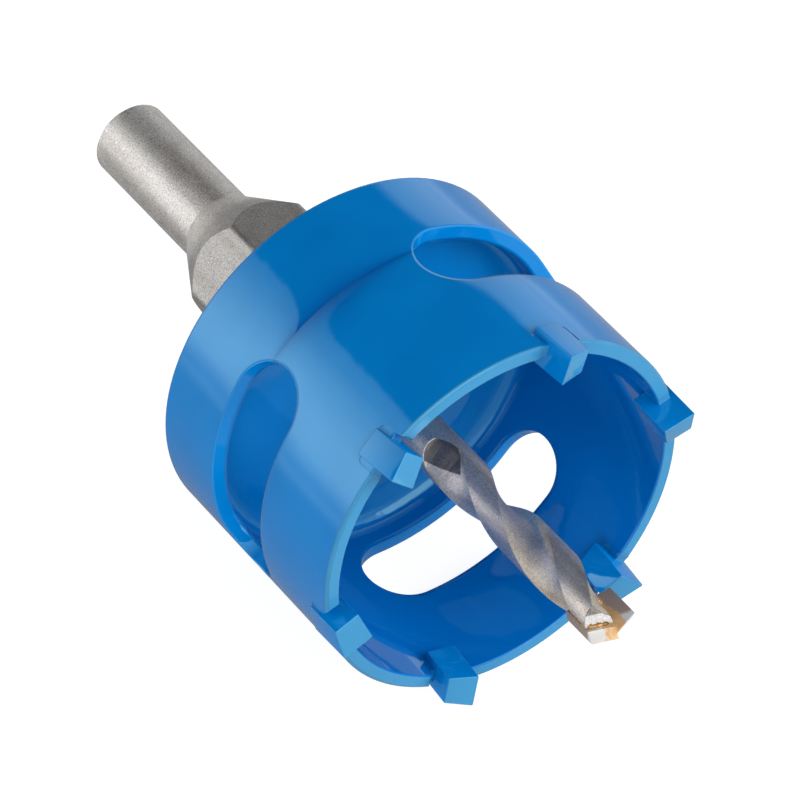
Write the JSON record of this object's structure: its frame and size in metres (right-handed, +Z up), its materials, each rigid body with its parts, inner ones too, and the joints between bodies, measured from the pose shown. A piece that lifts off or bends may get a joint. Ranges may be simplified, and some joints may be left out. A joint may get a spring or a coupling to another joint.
{
  "type": "hole saw",
  "caption": "Painted hole saw with slotted wall and brazed carbide teeth, on a hexagonal arbor with a round shank and a twist pilot drill.",
  "frame": {"origin": "centre of the shank's free end face", "axes": "+X along the tool axis towards the drill point; +Z up as the saw lies on its side; Y = Z x X"},
  "size_m": [0.1357, 0.0646, 0.0632],
  "materials": {
    "blue_paint": "gloss",
    "blasted_steel": "matte",
    "drill_steel": "satin",
    "carbide": "satin",
    "black_steel": "satin"
  },
  "bodies": {
    "root": {"cup": "blue_paint", "tooth_1": "blue_paint", "tooth_2": "blue_paint", "tooth_3": "blue_paint", "tooth_4": "blue_paint", "tooth_5": "blue_paint", "tooth_6": "blue_paint", "arbor": "blasted_steel", "pilot_drill": "drill_steel", "drill_plate": "carbide", "grub_screw": "black_steel"}
  },
  "joints": []
}
